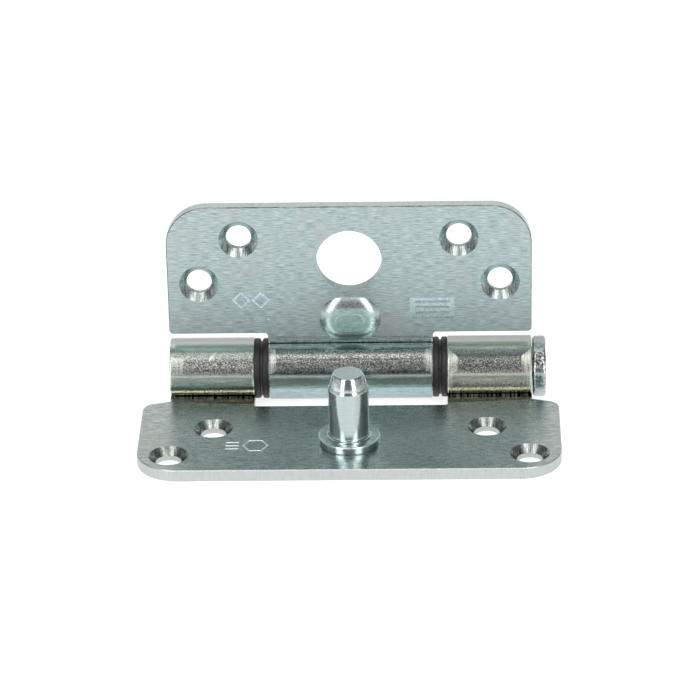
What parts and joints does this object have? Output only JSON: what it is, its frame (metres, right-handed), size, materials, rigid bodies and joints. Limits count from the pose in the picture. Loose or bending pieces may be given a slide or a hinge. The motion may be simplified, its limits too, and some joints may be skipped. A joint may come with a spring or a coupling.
{
  "type": "door hinge",
  "caption": "Ball-bearing butt hinge with rolled knuckles, countersunk screw holes, and a security stud on the frame leaf that enters a hole in the door leaf.",
  "frame": {"origin": "centre of the footprint of the frame leaf and barrel, on the frame leaf's back face", "axes": "+X along the pin, towards its head; +Y from the frame leaf's free edge to the barrel; +Z out of the frame leaf, along the door leaf as it stands"},
  "size_m": [0.102, 0.0522, 0.0522],
  "materials": {
    "frame_leaf_zinc": "brushed sheet steel, clear-passivated zinc plate",
    "door_leaf_zinc": "brushed sheet steel, clear-passivated zinc plate",
    "pin_zinc": "turned and headed steel, zinc plated",
    "stud_zinc": "turned steel, bright zinc plated",
    "bearing_polymer": "moulded black acetal",
    "cage_polymer": "moulded black nylon, greased",
    "bearing_steel": "ground and polished bearing steel"
  },
  "bodies": {
    "frame_side": {"frame_leaf": "frame_leaf_zinc", "hinge_pin": "pin_zinc", "security_stud": "stud_zinc", "left_outer_cup": "bearing_polymer", "left_outer_race": "bearing_steel", "right_outer_cup": "bearing_polymer", "right_outer_race": "bearing_steel"},
    "door_side": {"door_leaf": "door_leaf_zinc", "left_inner_cup": "bearing_polymer", "left_inner_race": "bearing_steel", "right_inner_cup": "bearing_polymer", "right_inner_race": "bearing_steel"},
    "left_ball_train": {"left_ball_cage": "cage_polymer", "left_ball_01": "bearing_steel", "left_ball_02": "bearing_steel", "left_ball_03": "bearing_steel", "left_ball_04": "bearing_steel", "left_ball_05": "bearing_steel", "left_ball_06": "bearing_steel", "left_ball_07": "bearing_steel", "left_ball_08": "bearing_steel", "left_ball_09": "bearing_steel", "left_ball_10": "bearing_steel", "left_ball_11": "bearing_steel", "left_ball_12": "bearing_steel"},
    "right_ball_train": {"right_ball_cage": "cage_polymer", "right_ball_01": "bearing_steel", "right_ball_02": "bearing_steel", "right_ball_03": "bearing_steel", "right_ball_04": "bearing_steel", "right_ball_05": "bearing_steel", "right_ball_06": "bearing_steel", "right_ball_07": "bearing_steel", "right_ball_08": "bearing_steel", "right_ball_09": "bearing_steel", "right_ball_10": "bearing_steel", "right_ball_11": "bearing_steel", "right_ball_12": "bearing_steel"}
  },
  "joints": [
    {"name": "leaf_swing", "type": "hinge", "parent": "frame_side", "child": "door_side", "pos_m": [0, 0.0184, 0.0077], "axis": [1, 0, 0], "range_deg": [-90, 90]},
    {"name": "left_balls_roll", "type": "hinge", "parent": "frame_side", "child": "left_ball_train", "pos_m": [-0.022, 0.0184, 0.0077], "axis": [1, 0, 0], "range_deg": [-45, 45]},
    {"name": "right_balls_roll", "type": "hinge", "parent": "frame_side", "child": "right_ball_train", "pos_m": [0.022, 0.0184, 0.0077], "axis": [1, 0, 0], "range_deg": [-45, 45]}
  ],
  "couplings": [
    {"joint": "left_balls_roll", "follows": "leaf_swing", "ratio": 0.5},
    {"joint": "right_balls_roll", "follows": "leaf_swing", "ratio": 0.5}
  ]
}
